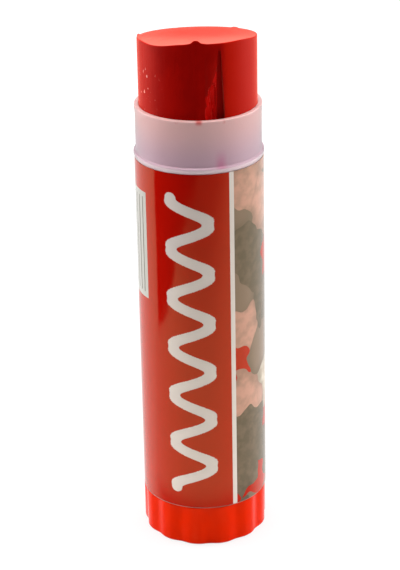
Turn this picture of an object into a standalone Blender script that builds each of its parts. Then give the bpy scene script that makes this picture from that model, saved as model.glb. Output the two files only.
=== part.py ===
"""Twist-up animal marking crayon: a wax stick that a threaded spindle lifts out of a labelled barrel.

The stick stands on its scalloped twist base, cap off, with the wax raised a few turns. The origin is
the centre of the base's underside, +Z is up, and the side that faces the viewer is -Y.
"""

from math import ceil, cos, pi, radians, sin, tan

import bmesh
import bpy
from mathutils import Matrix, Vector

MM = 0.001

# Clearances
SEAT_GAP = 0.3 * MM          # between pieces that rest on each other
TURN_GAP = 0.3 * MM          # between the knob's top and the barrel's foot
RUNNING_CLEARANCE = 0.2 * MM  # between the knob's collar and the barrel, all round
SLIDE_CLEARANCE = 0.3 * MM   # between the carrier and the barrel's bore and ribs
WAX_CLEARANCE = 0.25 * MM    # between the wax and the barrel's bore and ribs
THREAD_CLEARANCE = 0.25 * MM
PARK_GAP = 0.5 * MM          # under the carrier when it is wound right down

# Barrel
BARREL_RADIUS = 16.75 * MM
BARREL_WALL = 1.05 * MM
NECK_STEP = 0.22 * MM        # the neck is this much slimmer than the barrel
NECK_HEIGHT = 12.5 * MM
BEAD_STANDOUT = 0.38 * MM
BEAD_HEIGHT = 1.6 * MM
EDGE_BREAK = 0.15 * MM       # small chamfer on moulded edges

# Guide ribs in the bore
RIB_ANGLES = (radians(21.0), radians(201.0))  # from the front, towards +X
RIB_WIDTH = 2.1 * MM
RIB_DEPTH = 1.0 * MM
RIB_TIP_WIDTH = 0.3 * MM
RIB_TIP_DEPTH = 0.3 * MM
RIB_TAPER = 16.0 * MM
RIB_SETBACK = 2.5 * MM       # from the rim to the rib's tip
RIB_ROOT = 0.5 * MM          # how far a rib is rooted in the wall

# Label
LABEL_HEIGHT = 96.5 * MM
LABEL_MARGIN = 0.25 * MM
LABEL_FILM = 0.12 * MM
LABEL_GAP = 0.06 * MM        # glue line
LABEL_OVERLAP = 5.0 * MM

# Twist base
KNOB_HEIGHT = 11.7 * MM
KNOB_STANDOUT = 0.3 * MM     # lobe crests over the barrel's radius
LOBE_COUNT = 13
LOBE_ANGLE = radians(17.0)   # first crest, from the front towards +X
FLUTE_DEPTH = 0.62 * MM
KNOB_ROUNDING = 1.0 * MM
KNOB_FLOOR = 1.6 * MM
FOOT_RECESS = 0.8 * MM
FOOT_RING = 3.0 * MM
COLLAR_WALL = 1.3 * MM
COLLAR_HEIGHT = 5.0 * MM     # above the barrel's foot
SNAP_BITE = 0.25 * MM        # how far the snap bead reaches past the bore's wall
SNAP_HEIGHT = 1.6 * MM
SNAP_RISE = 1.8 * MM         # from the barrel's foot to the snap groove

# Lead screw
LEAD = 5.0 * MM              # lift for each turn of the knob
SPINDLE_RADIUS = 4.2 * MM
THREAD_DEPTH = 1.0 * MM
THREAD_CREST = 1.2 * MM
THREAD_FLANK = 0.9 * MM
THREAD_ENGAGEMENT = 6.0 * MM  # left in the nut at full height
FLANGE_STANDOUT = 1.6 * MM
FLANGE_HEIGHT = 1.5 * MM
SHANK_RADIUS = 3.2 * MM      # across the corners of the hexagon
SHANK_LENGTH = 3.4 * MM
HUB_WALL = 2.2 * MM
REST_TURNS = 4               # turns up from the parked place, as shown
UP_TURNS = 14                # turns left above that

# Carrier
CUP_DEPTH = 8.0 * MM
CUP_WALL = 1.6 * MM
CUP_FLOOR = 1.6 * MM
LIP_DEPTH = 0.6 * MM
LIP_HEIGHT = 1.0 * MM
NUT_DROP = 9.0 * MM          # the nut's boss hangs this far below the cup
NUT_WALL = 2.0 * MM

# Wax
WAX_STANDOUT = 17.5 * MM     # middle of the worn top over the rim
WAX_TILT_FRONT = radians(7.3)  # the worn top is high at the front
WAX_TILT_SIDE = radians(1.0)   # and a little high at +X
WAX_BORE_GAP = 0.6 * MM
WAX_BORE_SPARE = 1.0 * MM    # over the spindle's tip when parked

# Facets
ROUND_STEPS = 72
LOBE_STEPS = 12              # facets for each lobe
LABEL_STEPS = 96
THREAD_STEPS = 20
ROUNDING_STEPS = 4
HEX_SIDES = 6
WELD = 0.01 * MM             # points this close are one

# Sizes that follow
BORE_RADIUS = BARREL_RADIUS - BARREL_WALL
NECK_RADIUS = BARREL_RADIUS - NECK_STEP
BEAD_RADIUS = BARREL_RADIUS + BEAD_STANDOUT
BARREL_FOOT_Z = KNOB_HEIGHT + TURN_GAP
BEAD_FOOT = LABEL_HEIGHT + 2 * LABEL_MARGIN
BEAD_TOP = BEAD_FOOT + BEAD_HEIGHT
BARREL_HEIGHT = BEAD_TOP + NECK_HEIGHT
RIM_Z = BARREL_FOOT_Z + BARREL_HEIGHT

KNOB_RADIUS = BARREL_RADIUS + KNOB_STANDOUT
COLLAR_RADIUS = BORE_RADIUS - RUNNING_CLEARANCE
COLLAR_TOP_Z = BARREL_FOOT_Z + COLLAR_HEIGHT
HOLLOW_RADIUS = COLLAR_RADIUS - COLLAR_WALL
FOOT_RECESS_RADIUS = KNOB_RADIUS - FLUTE_DEPTH - KNOB_ROUNDING - FOOT_RING
KNOB_FLOOR_Z = FOOT_RECESS + KNOB_FLOOR
HUB_TOP_Z = KNOB_FLOOR_Z + SHANK_LENGTH
HUB_RADIUS = SHANK_RADIUS + SEAT_GAP + HUB_WALL

FLANGE_Z = HUB_TOP_Z + SEAT_GAP
FLANGE_TOP_Z = FLANGE_Z + FLANGE_HEIGHT
FLANGE_RADIUS = SPINDLE_RADIUS + FLANGE_STANDOUT

CARRIER_RADIUS = BORE_RADIUS - SLIDE_CLEARANCE
CARRIER_PARK_Z = max(COLLAR_TOP_Z, FLANGE_TOP_Z + NUT_DROP) + PARK_GAP
CARRIER_Z = CARRIER_PARK_Z + REST_TURNS * LEAD
CUP_RADIUS = CARRIER_RADIUS - CUP_WALL
LIP_RADIUS = CUP_RADIUS - LIP_DEPTH
CUP_TOP = CUP_FLOOR + CUP_DEPTH
NUT_RADIUS = SPINDLE_RADIUS + THREAD_CLEARANCE + NUT_WALL
SPINDLE_TOP_Z = CARRIER_PARK_Z - NUT_DROP + (REST_TURNS + UP_TURNS) * LEAD + THREAD_ENGAGEMENT

WAX_RADIUS = BORE_RADIUS - WAX_CLEARANCE
WAX_TOP_Z = RIM_Z + WAX_STANDOUT
WAX_BORE_RADIUS = SPINDLE_RADIUS + WAX_BORE_GAP
WAX_BORE_TOP_Z = SPINDLE_TOP_Z + REST_TURNS * LEAD + WAX_BORE_SPARE

RIB_FOOT_Z = COLLAR_TOP_Z + PARK_GAP
RIB_TIP_Z = RIM_Z - RIB_SETBACK


def collection(name):
    """A new collection in the scene."""
    made = bpy.data.collections.new(name)
    bpy.context.scene.collection.children.link(made)
    return made


def material(name, colour, roughness, alpha=1.0):
    """A Principled material of one colour."""
    made = bpy.data.materials.new(name)
    made.use_nodes = True
    shader = made.node_tree.nodes["Principled BSDF"]
    shader.inputs["Base Color"].default_value = (*colour, 1.0)
    shader.inputs["Roughness"].default_value = roughness
    shader.inputs["Metallic"].default_value = 0.0
    shader.inputs["Alpha"].default_value = alpha
    made.diffuse_color = (*colour, alpha)
    return made


def add_object(name, mesh, group, z=0.0):
    """An object for a mesh, on the stick's axis at height z."""
    obj = bpy.data.objects.new(name, mesh)
    obj.location.z = z
    group.objects.link(obj)
    return obj


def finish_mesh(bm, name):
    """A mesh made from a bmesh, with its normals turned outwards."""
    bmesh.ops.recalc_face_normals(bm, faces=bm.faces[:])
    mesh = bpy.data.meshes.new(name)
    bm.to_mesh(mesh)
    bm.free()
    return mesh


def turned(name, profile, group, z=0.0, closed=False):
    """A turned piece: (radius, height) points that run down the outer side, swept round the axis."""
    points = [(radius, 0.0, height) for radius, height in profile]
    edges = [(i, i + 1) for i in range(len(points) - 1)]
    if closed:
        edges.append((len(points) - 1, 0))
    mesh = bpy.data.meshes.new(name)
    mesh.from_pydata(points, edges, [])
    obj = add_object(name, mesh, group, z)
    screw = obj.modifiers.new("Turn", "SCREW")
    screw.angle = 2 * pi
    screw.steps = ROUND_STEPS
    screw.render_steps = ROUND_STEPS
    screw.use_merge_vertices = True
    screw.merge_threshold = WELD
    return obj


def prism(name, sides, radius, low, high, group, z=0.0):
    """An upright prism or cylinder between two heights."""
    bm = bmesh.new()
    middle = Matrix.Translation((0.0, 0.0, (low + high) / 2))
    bmesh.ops.create_cone(bm, cap_ends=True, segments=sides, radius1=radius, radius2=radius,
                          depth=high - low, matrix=middle)
    return add_object(name, finish_mesh(bm, name), group, z)


def as_helper(obj):
    """Marks a cutter or an added shape, which is no piece of its own."""
    obj.hide_render = True
    obj.display_type = "WIRE"
    return obj


def combine(obj, other, operation):
    """Cuts another shape from a piece, or joins it on."""
    boolean = obj.modifiers.new(f"{operation.title()} {other.name}", "BOOLEAN")
    boolean.operation = operation
    boolean.object = as_helper(other)
    boolean.solver = "EXACT"


def dress(obj, finish, smooth_angle=radians(30.0)):
    """Gives a piece its material and smooth shading."""
    obj.data.materials.append(finish)
    obj.data.shade_smooth()
    obj.data.set_sharp_from_angle(angle=smooth_angle)


def guide_bar(name, angle, grow, low, high, group, tapered):
    """A guide rib's shape along the bore's wall, or with grow the slot that clears it.

    The bar stands on the wall at the given angle from the front and, if tapered, narrows to its tip.
    """
    outer = BORE_RADIUS + RIB_ROOT
    inner = BORE_RADIUS - RIB_DEPTH - grow
    tip_inner = BORE_RADIUS - RIB_TIP_DEPTH - grow
    half_width = RIB_WIDTH / 2 + grow
    half_tip = RIB_TIP_WIDTH / 2 + grow
    shoulder = high - RIB_TAPER if tapered else high
    bm = bmesh.new()
    made = bmesh.ops.create_cube(bm, size=1.0)
    for vert in made["verts"]:
        vert.co.x *= 2 * half_width
        vert.co.y = -inner if vert.co.y > 0 else -outer
        vert.co.z = shoulder if vert.co.z > 0 else low
    if tapered:
        top = max(bm.faces, key=lambda face: face.calc_center_median().z)
        tip = bmesh.ops.extrude_face_region(bm, geom=[top])
        bm.faces.remove(top)
        for vert in (item for item in tip["geom"] if isinstance(item, bmesh.types.BMVert)):
            vert.co.x *= half_tip / half_width
            vert.co.y = min(vert.co.y, -tip_inner)
            vert.co.z = high
    bm.transform(Matrix.Rotation(angle, 4, "Z"))
    return add_object(name, finish_mesh(bm, name), group)


def threaded_rod(name, grow, low, high, group):
    """A left-hand threaded rod between two heights, with grow the cutter of the nut that clears it.

    One lead of the thread's outline is swept down along a helix, its turns are welded to each other and
    both ends are trimmed flat. The thread's phase depends on the height alone, so a rod and the nut's
    cutter are in mesh.
    """
    crest = SPINDLE_RADIUS + grow
    root = SPINDLE_RADIUS - THREAD_DEPTH + grow
    half_crest = THREAD_CREST / 2 + grow
    half_base = half_crest + THREAD_FLANK
    outline = ((root, 0.0), (root, -LEAD / 2 + half_base), (crest, -LEAD / 2 + half_crest),
               (crest, -LEAD / 2 - half_crest), (root, -LEAD / 2 - half_base), (root, -LEAD))
    start = (ceil(high / LEAD) + 1) * LEAD
    turns = ceil((start - low) / LEAD) + 1
    bm = bmesh.new()
    verts = [bm.verts.new((radius, 0.0, start + height)) for radius, height in outline]
    edges = [bm.edges.new(pair) for pair in zip(verts, verts[1:])]
    bmesh.ops.spin(bm, geom=verts + edges, cent=(0.0, 0.0, 0.0), axis=(0.0, 0.0, 1.0),
                   dvec=(0.0, 0.0, -LEAD / THREAD_STEPS), angle=2 * pi * turns,
                   steps=THREAD_STEPS * turns, use_duplicate=False)
    bmesh.ops.remove_doubles(bm, verts=bm.verts[:], dist=WELD)
    for height, outwards in ((low, -1.0), (high, 1.0)):
        trimmed = bmesh.ops.bisect_plane(bm, geom=bm.verts[:] + bm.edges[:] + bm.faces[:], dist=WELD / 100,
                                         plane_co=(0.0, 0.0, height), plane_no=(0.0, 0.0, outwards),
                                         clear_outer=True)
        cut_edges = [item for item in trimmed["geom_cut"] if isinstance(item, bmesh.types.BMEdge)]
        bmesh.ops.holes_fill(bm, edges=cut_edges)
    return add_object(name, finish_mesh(bm, name), group)


def build_barrel(parts, helpers):
    """The tube: neck, cap-stop bead, label field, snap groove at its foot and guide ribs in its bore."""
    groove_radius = BORE_RADIUS + SNAP_BITE + RUNNING_CLEARANCE
    groove_low = SNAP_RISE - RUNNING_CLEARANCE
    groove_high = SNAP_RISE + SNAP_HEIGHT + RUNNING_CLEARANCE
    slope = groove_radius - BORE_RADIUS
    profile = (
        (BORE_RADIUS, BARREL_HEIGHT),
        (NECK_RADIUS - EDGE_BREAK, BARREL_HEIGHT),
        (NECK_RADIUS, BARREL_HEIGHT - EDGE_BREAK),
        (NECK_RADIUS, BEAD_TOP),
        (BEAD_RADIUS - EDGE_BREAK, BEAD_TOP),
        (BEAD_RADIUS, BEAD_TOP - EDGE_BREAK),
        (BEAD_RADIUS, BEAD_FOOT + EDGE_BREAK),
        (BEAD_RADIUS - EDGE_BREAK, BEAD_FOOT),
        (BARREL_RADIUS, BEAD_FOOT),
        (BARREL_RADIUS, EDGE_BREAK),
        (BARREL_RADIUS - EDGE_BREAK, 0.0),
        (BORE_RADIUS, 0.0),
        (BORE_RADIUS, groove_low),
        (groove_radius, groove_low + slope),
        (groove_radius, groove_high - slope),
        (BORE_RADIUS, groove_high),
    )
    barrel = turned("barrel", profile, parts, BARREL_FOOT_Z, closed=True)
    for number, angle in enumerate(RIB_ANGLES, 1):
        rib = guide_bar(f"guide_rib_{number}", angle, 0.0, RIB_FOOT_Z, RIB_TIP_Z, helpers, tapered=True)
        combine(barrel, rib, "UNION")
    return barrel


def build_label(parts):
    """The printed film: one turn round the barrel and an overlap, on a spiral so that it lies on itself."""
    inner = BARREL_RADIUS + LABEL_GAP
    sweep = 2 * pi + LABEL_OVERLAP / inner
    steps = ceil(LABEL_STEPS * sweep / (2 * pi))
    climb = (LABEL_FILM + LABEL_GAP) / (2 * pi)
    bm = bmesh.new()
    points = []
    for step in range(steps + 1):
        angle = sweep * step / steps
        radius = inner + climb * angle
        points.append(bm.verts.new((-radius * sin(angle), radius * cos(angle), 0.0)))
    edges = [bm.edges.new(pair) for pair in zip(points, points[1:])]
    raised = bmesh.ops.extrude_edge_only(bm, edges=edges)
    for vert in (item for item in raised["geom"] if isinstance(item, bmesh.types.BMVert)):
        vert.co.z = LABEL_HEIGHT
    bm.normal_update()
    for face in bm.faces:
        if face.normal.dot(face.calc_center_median() * Vector((1.0, 1.0, 0.0))) < 0:
            face.normal_flip()
    mesh = bpy.data.meshes.new("label")
    bm.to_mesh(mesh)
    bm.free()
    label = add_object("label", mesh, parts, BARREL_FOOT_Z + LABEL_MARGIN)
    film = label.modifiers.new("Film", "SOLIDIFY")
    film.thickness = LABEL_FILM
    film.offset = 1.0
    film.use_even_offset = True
    return label


def build_twist_base(parts, helpers):
    """The scalloped knob: recessed foot, hollow with a hub for the spindle, and a snap collar on top."""
    bm = bmesh.new()
    bmesh.ops.create_cone(bm, cap_ends=True, segments=LOBE_COUNT * LOBE_STEPS, radius1=KNOB_RADIUS,
                          radius2=KNOB_RADIUS, depth=KNOB_HEIGHT,
                          matrix=Matrix.Translation((0.0, 0.0, KNOB_HEIGHT / 2)))
    front = Vector((0.0, -1.0))
    for vert in bm.verts:
        angle = front.angle_signed(vert.co.xy) + LOBE_ANGLE
        fall = FLUTE_DEPTH * (1 - cos(LOBE_COUNT * angle)) / 2
        vert.co.xy *= (KNOB_RADIUS - fall) / KNOB_RADIUS
    weight = bm.edges.layers.float.new("bevel_weight_edge")
    for edge in bm.edges:
        edge[weight] = float(all(vert.co.z < KNOB_HEIGHT / 2 for vert in edge.verts))
    knob = add_object("twist_base", finish_mesh(bm, "twist_base"), parts)
    rounding = knob.modifiers.new("Rounded foot", "BEVEL")
    rounding.limit_method = "WEIGHT"
    rounding.width = KNOB_ROUNDING
    rounding.segments = ROUNDING_STEPS

    snap_radius = BORE_RADIUS + SNAP_BITE
    snap_low = BARREL_FOOT_Z + SNAP_RISE
    snap_high = snap_low + SNAP_HEIGHT
    slope = snap_radius - COLLAR_RADIUS
    collar = turned("snap_collar", (
        (0.0, COLLAR_TOP_Z),
        (COLLAR_RADIUS - EDGE_BREAK, COLLAR_TOP_Z),
        (COLLAR_RADIUS, COLLAR_TOP_Z - EDGE_BREAK),
        (COLLAR_RADIUS, snap_high),
        (snap_radius, snap_high - slope),
        (snap_radius, snap_low + slope),
        (COLLAR_RADIUS, snap_low),
        (COLLAR_RADIUS, KNOB_HEIGHT / 2),
        (0.0, KNOB_HEIGHT / 2),
    ), helpers)
    hollow = turned("knob_hollow", (
        (0.0, COLLAR_TOP_Z + COLLAR_HEIGHT),
        (HOLLOW_RADIUS, COLLAR_TOP_Z + COLLAR_HEIGHT),
        (HOLLOW_RADIUS, KNOB_FLOOR_Z),
        (HUB_RADIUS, KNOB_FLOOR_Z),
        (HUB_RADIUS, HUB_TOP_Z),
        (0.0, HUB_TOP_Z),
    ), helpers)
    recess = prism("foot_recess", ROUND_STEPS, FOOT_RECESS_RADIUS, -FOOT_RECESS, FOOT_RECESS, helpers)
    socket = prism("hub_socket", HEX_SIDES, SHANK_RADIUS + SEAT_GAP, KNOB_FLOOR_Z,
                   HUB_TOP_Z + SHANK_LENGTH, helpers)
    combine(knob, collar, "UNION")
    combine(knob, hollow, "DIFFERENCE")
    combine(knob, recess, "DIFFERENCE")
    combine(knob, socket, "DIFFERENCE")
    return knob


def build_lead_screw(parts, helpers):
    """The spindle: a left-hand thread over a flange and a hexagonal shank that sits in the knob's hub."""
    screw = threaded_rod("lead_screw", 0.0, FLANGE_Z + FLANGE_HEIGHT / 2, SPINDLE_TOP_Z, parts)
    flange = prism("spindle_flange", ROUND_STEPS, FLANGE_RADIUS, FLANGE_Z, FLANGE_TOP_Z, helpers)
    shank = prism("spindle_shank", HEX_SIDES, SHANK_RADIUS, KNOB_FLOOR_Z + SEAT_GAP,
                  FLANGE_Z + FLANGE_HEIGHT / 2, helpers)
    combine(screw, flange, "UNION")
    combine(screw, shank, "UNION")
    return screw


def build_carrier(parts, helpers):
    """The cup that holds the wax, with its nut hanging below and a notch for each guide rib."""
    carrier = turned("carrier", (
        (0.0, CUP_FLOOR),
        (CUP_RADIUS, CUP_FLOOR),
        (CUP_RADIUS, CUP_TOP - LIP_HEIGHT),
        (LIP_RADIUS, CUP_TOP - LIP_HEIGHT),
        (LIP_RADIUS, CUP_TOP),
        (CARRIER_RADIUS, CUP_TOP),
        (CARRIER_RADIUS, 0.0),
        (NUT_RADIUS, 0.0),
        (NUT_RADIUS, -NUT_DROP),
        (0.0, -NUT_DROP),
    ), parts, CARRIER_Z)
    nut = threaded_rod("nut_thread", THREAD_CLEARANCE, CARRIER_Z - NUT_DROP - LEAD,
                       CARRIER_Z + CUP_FLOOR + LEAD, helpers)
    combine(carrier, nut, "DIFFERENCE")
    for number, angle in enumerate(RIB_ANGLES, 1):
        notch = guide_bar(f"carrier_notch_{number}", angle, SLIDE_CLEARANCE, CARRIER_Z - CUP_TOP,
                          CARRIER_Z + 2 * CUP_TOP, helpers, tapered=False)
        combine(carrier, notch, "DIFFERENCE")
    return carrier


def build_wax(parts, helpers):
    """The cast stick: keyed into the cup, bored for the spindle, grooved by the ribs and worn aslant."""
    cup_floor_z = CARRIER_Z + CUP_FLOOR
    cup_top_z = CARRIER_Z + CUP_TOP
    spare = 2 * WAX_RADIUS * tan(WAX_TILT_FRONT + WAX_TILT_SIDE)
    wax = turned("wax_crayon", (
        (0.0, WAX_TOP_Z + spare),
        (WAX_RADIUS, WAX_TOP_Z + spare),
        (WAX_RADIUS, cup_top_z + SEAT_GAP),
        (LIP_RADIUS - SEAT_GAP, cup_top_z + SEAT_GAP),
        (LIP_RADIUS - SEAT_GAP, cup_top_z - LIP_HEIGHT - SEAT_GAP),
        (CUP_RADIUS - SEAT_GAP, cup_top_z - LIP_HEIGHT - SEAT_GAP),
        (CUP_RADIUS - SEAT_GAP, cup_floor_z + SEAT_GAP),
        (WAX_BORE_RADIUS, cup_floor_z + SEAT_GAP),
        (WAX_BORE_RADIUS, WAX_BORE_TOP_Z),
        (0.0, WAX_BORE_TOP_Z),
    ), parts)
    for number, angle in enumerate(RIB_ANGLES, 1):
        groove = guide_bar(f"wax_groove_{number}", angle, WAX_CLEARANCE, CARRIER_Z,
                           RIB_TIP_Z + REST_TURNS * LEAD + WAX_CLEARANCE, helpers, tapered=True)
        combine(wax, groove, "DIFFERENCE")
    block = 6 * WAX_RADIUS
    bm = bmesh.new()
    bmesh.ops.create_cube(bm, size=block, matrix=Matrix.Translation((0.0, 0.0, block / 2)))
    worn = add_object("worn_top", finish_mesh(bm, "worn_top"), helpers, WAX_TOP_Z)
    worn.rotation_euler = (-WAX_TILT_FRONT, -WAX_TILT_SIDE, 0.0)
    combine(wax, worn, "DIFFERENCE")
    return wax


def axis_empty(name, group, children):
    """An empty on the stick's axis that carries the pieces of one moving body."""
    empty = bpy.data.objects.new(name, None)
    empty.empty_display_type = "SINGLE_ARROW"
    empty.empty_display_size = BARREL_RADIUS
    group.objects.link(empty)
    for child in children:
        child.parent = empty
    return empty


def main():
    for obj in list(bpy.data.objects):
        bpy.data.objects.remove(obj, do_unlink=True)
    parts = collection("animal_marking_crayon")
    helpers = collection("cutters")

    barrel = build_barrel(parts, helpers)
    label = build_label(parts)
    knob = build_twist_base(parts, helpers)
    screw = build_lead_screw(parts, helpers)
    carrier = build_carrier(parts, helpers)
    wax = build_wax(parts, helpers)

    axis_empty("barrel_axis", parts, (barrel, label))
    axis_empty("twist_axis", parts, (knob, screw))
    axis_empty("lift_axis", parts, (carrier, wax))

    dress(barrel, material("frosted_barrel", (0.72, 0.62, 0.63), 0.35, alpha=0.6))
    dress(label, material("label_film", (0.42, 0.02, 0.01), 0.2))
    dress(knob, material("knob_plastic", (0.68, 0.02, 0.001), 0.3))
    dress(screw, material("spindle_plastic", (0.8, 0.8, 0.78), 0.4))
    dress(carrier, material("carrier_plastic", (0.8, 0.8, 0.78), 0.4))
    dress(wax, material("marking_wax", (0.45, 0.01, 0.003), 0.4))


main()
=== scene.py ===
"""Looks of a twist-up animal marking crayon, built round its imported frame.

The wax stick, the frosted barrel, the printed label and the scalloped twist base are modelled finely here
and stand for their plain solids. The lead screw and the carrier keep their solids and get a finish.
Lengths are in metres in the frame's own axes: +Z runs up the stick and -Y faces the viewer. Angles round
the stick are counted from the front, towards +X. The finishes read places in millimetres.
"""

import logging
from collections.abc import Callable, Iterator, Sequence
from contextlib import contextmanager
from dataclasses import dataclass
from enum import Enum
from functools import reduce
from math import atan2, cos, hypot, pi, radians, sin, tan
from typing import ClassVar

import bmesh
import bpy
from mathutils import Matrix, Vector

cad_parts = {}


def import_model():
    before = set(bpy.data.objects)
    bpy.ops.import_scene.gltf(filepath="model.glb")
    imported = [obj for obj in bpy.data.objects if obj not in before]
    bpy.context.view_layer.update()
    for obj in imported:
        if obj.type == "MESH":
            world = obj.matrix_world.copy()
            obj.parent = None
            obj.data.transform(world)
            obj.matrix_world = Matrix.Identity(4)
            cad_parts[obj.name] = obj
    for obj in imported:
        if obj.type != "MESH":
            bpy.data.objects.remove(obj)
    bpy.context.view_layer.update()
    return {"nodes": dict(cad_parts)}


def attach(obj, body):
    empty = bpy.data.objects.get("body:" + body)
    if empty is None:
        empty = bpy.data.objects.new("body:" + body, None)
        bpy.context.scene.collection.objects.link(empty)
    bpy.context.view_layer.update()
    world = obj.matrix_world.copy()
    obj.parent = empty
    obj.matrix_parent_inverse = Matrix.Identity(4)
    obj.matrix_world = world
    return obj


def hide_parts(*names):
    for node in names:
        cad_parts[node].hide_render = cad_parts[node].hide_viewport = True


MM = 0.001
WELD = 0.001 * MM   # points closer than this are one point
SLIVER = 0.01 * MM  # edges shorter than this, left by cuts, are cleared
# places off the stick's axis that meshes are sorted from
ORDER_MARKS = ((0.0713, -0.0427, 0.3391), (-0.0539, 0.0871, -0.2117))

Point = tuple[float, float]
Place = tuple[float, float, float]
Colour = tuple[float, float, float]
Object = bpy.types.Object
Socket = bpy.types.NodeSocket
Axes = tuple[Socket, Socket, Socket]
Input = Socket | float | Sequence[float]
Key = str | int

BLACK: Colour = (0.0, 0.0, 0.0)
WHITE: Colour = (1.0, 1.0, 1.0)
MIX_INPUTS = (0, 6, 7)  # sockets of a Mix node of colours: factor, first and second colour
MIX_RESULT = 2

log = logging.getLogger("animal_marking_crayon")


class Body(Enum):
    """The moving bodies of the frame."""

    BARREL = "barrel_body"
    BASE = "base"
    CRAYON = "crayon"


class Slot(Enum):
    """The record's material slots."""

    BARREL = "frosted_plastic"
    LABEL = "label_film"
    KNOB = "knob_plastic"
    SPINDLE = "spindle_plastic"
    WAX = "marking_wax"


class Pick(Enum):
    """What a selection in edit mode is made of."""

    POINTS = "VERT"
    EDGES = "EDGE"
    FACES = "FACE"


class Carve(Enum):
    """How a tool body changes a piece."""

    CUT = "DIFFERENCE"
    JOIN = "UNION"


# Modelling by operators


def only(obj: Object) -> None:
    """Selects one object and makes it the active one.

    Args:
        obj: the object.
    """
    bpy.ops.object.select_all(action="DESELECT")
    obj.select_set(True)
    bpy.context.view_layer.objects.active = obj


@contextmanager
def editing(obj: Object) -> Iterator[None]:
    """Edit mode on one object, with all of its mesh selected at the start.

    Args:
        obj: the object.

    Yields:
        Nothing, while edit mode is on.
    """
    only(obj)
    bpy.ops.object.mode_set(mode="EDIT")
    bpy.ops.mesh.select_all(action="SELECT")
    yield
    bpy.ops.object.mode_set(mode="OBJECT")


def pick(obj: Object, kind: Pick, test: Callable[[Vector], bool]) -> None:
    """Selects the points, edges or faces of the edited mesh that lie where a test says.

    Args:
        obj: the object in edit mode.
        kind: what to select.
        test: takes the middle of a point, edge or face and says whether it is wanted.
    """
    bpy.ops.mesh.select_mode(type=kind.value)
    bpy.ops.mesh.select_all(action="DESELECT")
    mesh = bmesh.from_edit_mesh(obj.data)
    if kind is Pick.POINTS:
        middles = [(vert, vert.co) for vert in mesh.verts]
    elif kind is Pick.EDGES:
        middles = [(edge, (edge.verts[0].co + edge.verts[1].co) / 2) for edge in mesh.edges]
    else:
        middles = [(face, face.calc_center_median()) for face in mesh.faces]
    for item, middle in middles:
        if test(middle):
            item.select_set(True)
    mesh.select_flush_mode()
    bmesh.update_edit_mesh(obj.data)


def settle(obj: Object) -> None:
    """Applies an object's place, turn and scale to its mesh."""
    only(obj)
    bpy.ops.object.transform_apply(location=True, rotation=True, scale=True)


def fix_order(obj: Object) -> None:
    """Puts a mesh in the same order on every run.

    Extrude, subdivide and bevel store theirs by chance. Points, edges and faces are sorted by their
    distance from two marks off the stick's axis. Each edge then runs from its earlier point to its later
    one, because cuts along it are measured from its start.

    Args:
        obj: the object, in object mode.
    """
    cursor = bpy.context.scene.cursor
    with editing(obj):
        for mark in ORDER_MARKS:
            cursor.location = mark
            bpy.ops.mesh.sort_elements(type="CURSOR_DISTANCE", elements={"VERT", "EDGE", "FACE"})
    cursor.location = (0.0, 0.0, 0.0)
    edges = obj.data.edges
    edges.foreach_set("vertices", [end for edge in edges for end in sorted(edge.vertices)])
    obj.data.update()


def close_up(obj: Object) -> None:
    """Merges doubled points, turns all faces outwards and fixes the mesh's order.

    Args:
        obj: the object, in object mode.
    """
    with editing(obj):
        bpy.ops.mesh.remove_doubles(threshold=WELD)
        bpy.ops.mesh.select_all(action="SELECT")
        bpy.ops.mesh.normals_make_consistent(inside=False)
    fix_order(obj)


def primitive(name: str, add: Callable[..., set[str]], **settings: object) -> Object:
    """Adds a primitive with nothing else selected, and applies its place to its mesh.

    Args:
        name: name of the new object.
        add: the operator that adds it.
        **settings: the operator's settings.

    Returns:
        The new object.
    """
    bpy.ops.object.select_all(action="DESELECT")
    add(**settings)
    obj = bpy.context.object
    obj.name = name
    settle(obj)
    return obj


def arc(centre: Point, radius: float, start: float, end: float, steps: int = 4) -> list[Point]:
    """Points of a rounded corner in a profile.

    Args:
        centre: (radius, height) of the rounding's centre.
        radius: the rounding.
        start: first angle in degrees, where 0 points outwards and 90 up.
        end: last angle in degrees.
        steps: facets of the rounding.

    Returns:
        The (radius, height) points, both ends included.
    """
    angles = [radians(start + (end - start) * step / steps) for step in range(steps + 1)]
    return [(centre[0] + radius * cos(angle), centre[1] + radius * sin(angle)) for angle in angles]


def turned(name: str, profile: Sequence[Point], segments: int, tube: bool) -> Object:
    """A turned body: one ring, extruded and resized from point to point of a profile.

    Args:
        name: name of the new object.
        profile: (radius, height) points along the wall.
        segments: facets round the axis.
        tube: True if the profile ends where it starts; otherwise both end rings are capped.

    Returns:
        The new object, closed, with its faces outwards.
    """
    points = [*profile, profile[0]] if tube else list(profile)
    radius, height = points[0]
    obj = primitive(name, bpy.ops.mesh.primitive_circle_add, vertices=segments, radius=radius,
                    location=(0.0, 0.0, height), fill_type="NOTHING" if tube else "NGON")
    with editing(obj):
        for next_radius, next_height in points[1:]:
            bpy.ops.mesh.extrude_edges_move(
                TRANSFORM_OT_translate={"value": (0.0, 0.0, next_height - height)})
            ratio = next_radius / radius
            bpy.ops.transform.resize(value=(ratio, ratio, 1.0), center_override=(0.0, 0.0, next_height))
            radius, height = next_radius, next_height
        if not tube:
            bpy.ops.mesh.edge_face_add()
    close_up(obj)
    return obj


def block(name: str, low: Sequence[float], high: Sequence[float]) -> Object:
    """A cube stretched between two corners.

    Args:
        name: name of the new object.
        low: lowest corner.
        high: highest corner.

    Returns:
        The new object, with its place in its mesh.
    """
    middle = (Vector(low) + Vector(high)) / 2
    return primitive(name, bpy.ops.mesh.primitive_cube_add, size=1.0, location=middle,
                     scale=Vector(high) - Vector(low))


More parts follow.
